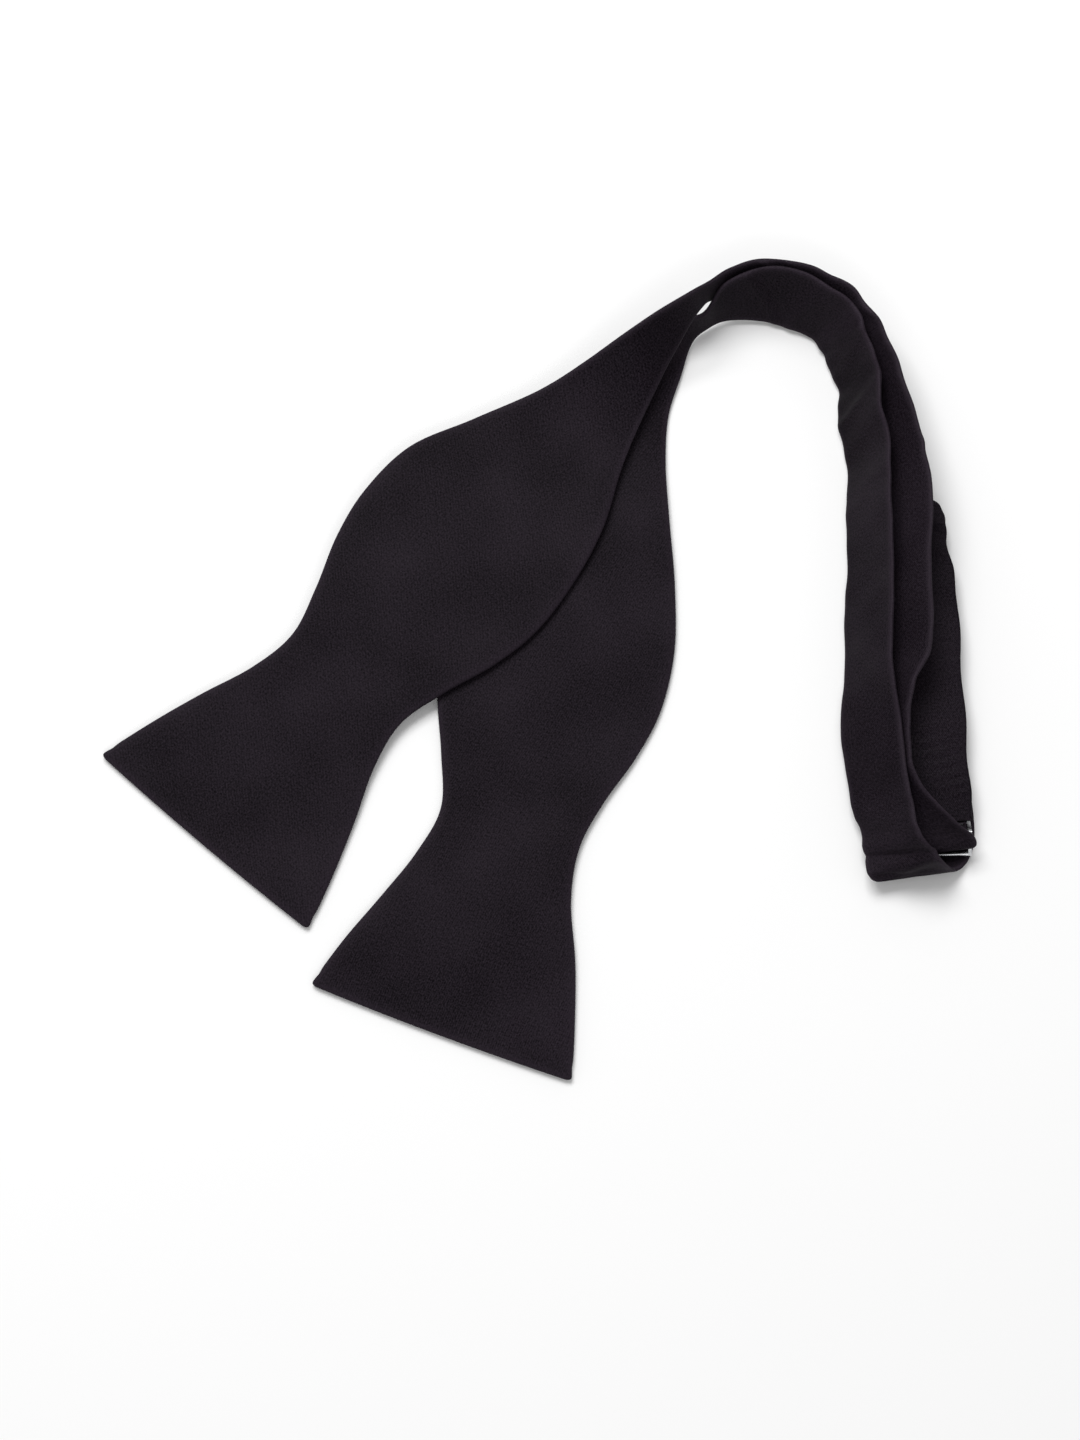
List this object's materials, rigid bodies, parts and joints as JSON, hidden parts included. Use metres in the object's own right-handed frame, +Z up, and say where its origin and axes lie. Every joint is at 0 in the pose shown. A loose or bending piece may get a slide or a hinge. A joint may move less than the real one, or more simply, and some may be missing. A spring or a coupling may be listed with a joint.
{
  "type": "bow_tie",
  "caption": "Black satin self-tie bow tie, untied and laid folded, with butterfly blades, lined cloth halves, an adjuster strap with a slide, and a hook and eye.",
  "frame": {"origin": "centre of the bounding box in X and Y, lowest point of the tie in Z", "axes": "+X from the blade tips toward the folded bands, +Y from the blades toward the arch of the neck, +Z up from the table"},
  "size_m": [0.2054, 0.1968, 0.0186],
  "materials": {
    "satin": "dull black satin, fine weave",
    "satin_back": "dull black satin, fine weave",
    "lining_cloth": "plain undyed interlining",
    "plated_metal": "plated, lightly worn",
    "thread": "matt twisted thread"
  },
  "bodies": {
    "pack": {"eye_end_face": "satin", "eye_end_back": "satin_back", "eye_end_lining": "lining_cloth", "strap_face": "satin", "strap_back": "satin_back", "strap_lining": "lining_cloth", "hook_loop": "satin", "strap_return": "satin", "eye_hem": "satin", "eye_hem_stitches": "thread"},
    "neckband": {"lower_band_face": "satin", "lower_band_back": "satin_back", "lower_band_lining": "lining_cloth", "upper_band_face": "satin", "upper_band_back": "satin_back", "upper_band_lining": "lining_cloth"},
    "blade_pair": {"lower_blade_face": "satin", "lower_blade_back": "satin_back", "lower_blade_lining": "lining_cloth", "upper_neck_face": "satin", "upper_neck_back": "satin_back", "upper_neck_lining": "lining_cloth"},
    "upper_blade": {"upper_blade_face": "satin", "upper_blade_back": "satin_back", "upper_blade_lining": "lining_cloth"},
    "slide_set": {"slide": "plated_metal", "slide_hem": "satin", "slide_hem_stitches": "thread"},
    "hook": {"hook": "plated_metal"},
    "eye": {"eye": "plated_metal"}
  },
  "joints": [
    {"name": "unfold", "type": "hinge", "parent": "pack", "child": "neckband", "pos_m": [0.08885, -0.04315, 0.01222], "axis": [1, 0, 0], "range_deg": [0, 90]},
    {"name": "blades_lift", "type": "hinge", "parent": "neckband", "child": "blade_pair", "pos_m": [0.01885, 0.06785, 0.01002], "axis": [-0.8571, 0.5151, 0], "range_deg": [0, 60]},
    {"name": "upper_blade_lift", "type": "hinge", "parent": "blade_pair", "child": "upper_blade", "pos_m": [0.00985, 0.05915, 0.00732], "axis": [-0.7312, 0.6822, 0], "range_deg": [0, 60]},
    {"name": "slide_adjust", "type": "slide", "parent": "pack", "child": "slide_set", "axis": [-0.0389, 0.9992, 0], "range_m": [0, 0.05], "deforming": ["strap_return"]},
    {"name": "hook_swing", "type": "hinge", "parent": "pack", "child": "hook", "pos_m": [0.08625, 0.04245, 0.00312], "axis": [1, 0, 0], "range_deg": [-6, 6]},
    {"name": "eye_swing", "type": "hinge", "parent": "pack", "child": "eye", "pos_m": [0.08395, 0.05365, 0.00117], "axis": [1, 0, 0], "range_deg": [0, 8]}
  ]
}
